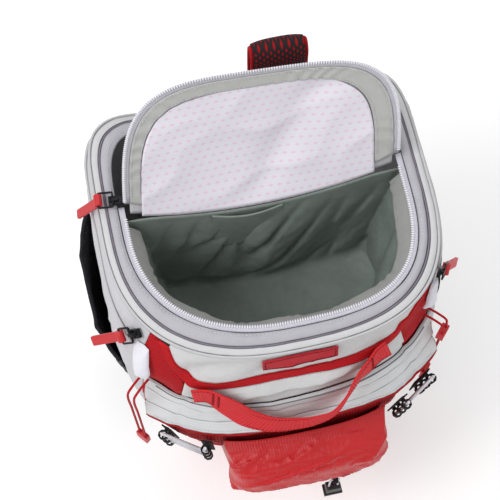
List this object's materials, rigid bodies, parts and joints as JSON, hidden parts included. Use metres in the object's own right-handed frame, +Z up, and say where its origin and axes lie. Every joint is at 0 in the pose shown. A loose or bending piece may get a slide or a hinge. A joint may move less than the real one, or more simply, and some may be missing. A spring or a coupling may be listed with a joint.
{
  "type": "softball backpack",
  "caption": "An upright backpack for ball and bats with its top lid folded back, a laced front pocket, side pockets, a haul handle and shoulder straps.",
  "frame": {"origin": "on the underside of the base, below the middle of the level top rim", "axes": "+Z up; the front with the laced pocket faces -Y, the shoulder straps are at +Y, +X is to the right seen from the front"},
  "size_m": [0.344, 0.3615, 0.5791],
  "materials": {
    "grey_cloth": "matte woven",
    "white_trim": "smooth tape",
    "red_cloth": "woven, slight sheen",
    "red_mesh": "ribbed mesh",
    "black_trim": "webbing",
    "plum_piping": "piping",
    "grey_satin": "satin lining",
    "lining_cloth": "printed lining",
    "black_mesh": "air mesh",
    "black_metal": "black enamel",
    "black_plastic": "moulded",
    "red_plastic": "moulded"
  },
  "bodies": {
    "root": {"base_panel": "grey_cloth", "lower_front_panel": "red_mesh", "left_side_panel": "grey_cloth", "left_side_band": "grey_cloth", "left_side_piping": "grey_cloth", "left_corner_panel": "red_cloth", "right_side_panel": "grey_cloth", "right_side_band": "grey_cloth", "right_side_piping": "grey_cloth", "right_corner_panel": "red_cloth", "back_panel": "black_mesh", "front_panel": "grey_cloth", "upper_front_panel": "grey_cloth", "pocket_zip": "red_cloth", "flap_band": "grey_cloth", "flap_piping": "red_cloth", "label_patch": "red_cloth", "left_zip_garage": "white_trim", "right_zip_garage": "white_trim", "rim_band": "grey_cloth", "edge_band": "grey_cloth", "seam_piping": "plum_piping", "edge_piping": "grey_cloth", "mouth_zip_tape": "white_trim", "mouth_facing": "grey_cloth", "compartment_liner": "grey_satin", "inner_pocket": "grey_satin", "lid_lining": "lining_cloth", "lid_border": "grey_cloth", "lid_shell": "grey_cloth", "lid_zip_tape": "white_trim", "lid_slider": "black_metal", "lid_pull": "red_cloth", "left_slider": "black_metal", "left_pull": "red_cloth", "right_slider": "black_metal", "right_pull": "red_cloth", "haul_handle": "red_cloth", "front_pocket": "red_cloth", "left_side_pocket": "black_mesh", "right_side_pocket": "black_mesh", "left_body_loops": "black_trim", "left_pocket_loops": "black_trim", "left_lacing": "white_trim", "right_body_loops": "black_trim", "right_pocket_loops": "black_trim", "right_lacing": "white_trim", "lock_hanger": "black_trim", "lock_cord": "white_trim", "cord_lock": "black_plastic", "left_strap": "black_mesh", "left_strap_web": "black_trim", "right_strap": "black_mesh", "right_strap_web": "black_trim", "left_cord": "red_cloth", "left_cord_tab": "red_plastic", "right_cord": "red_cloth", "right_cord_tab": "red_plastic", "right_barrel_lock": "red_plastic"}
  },
  "joints": []
}
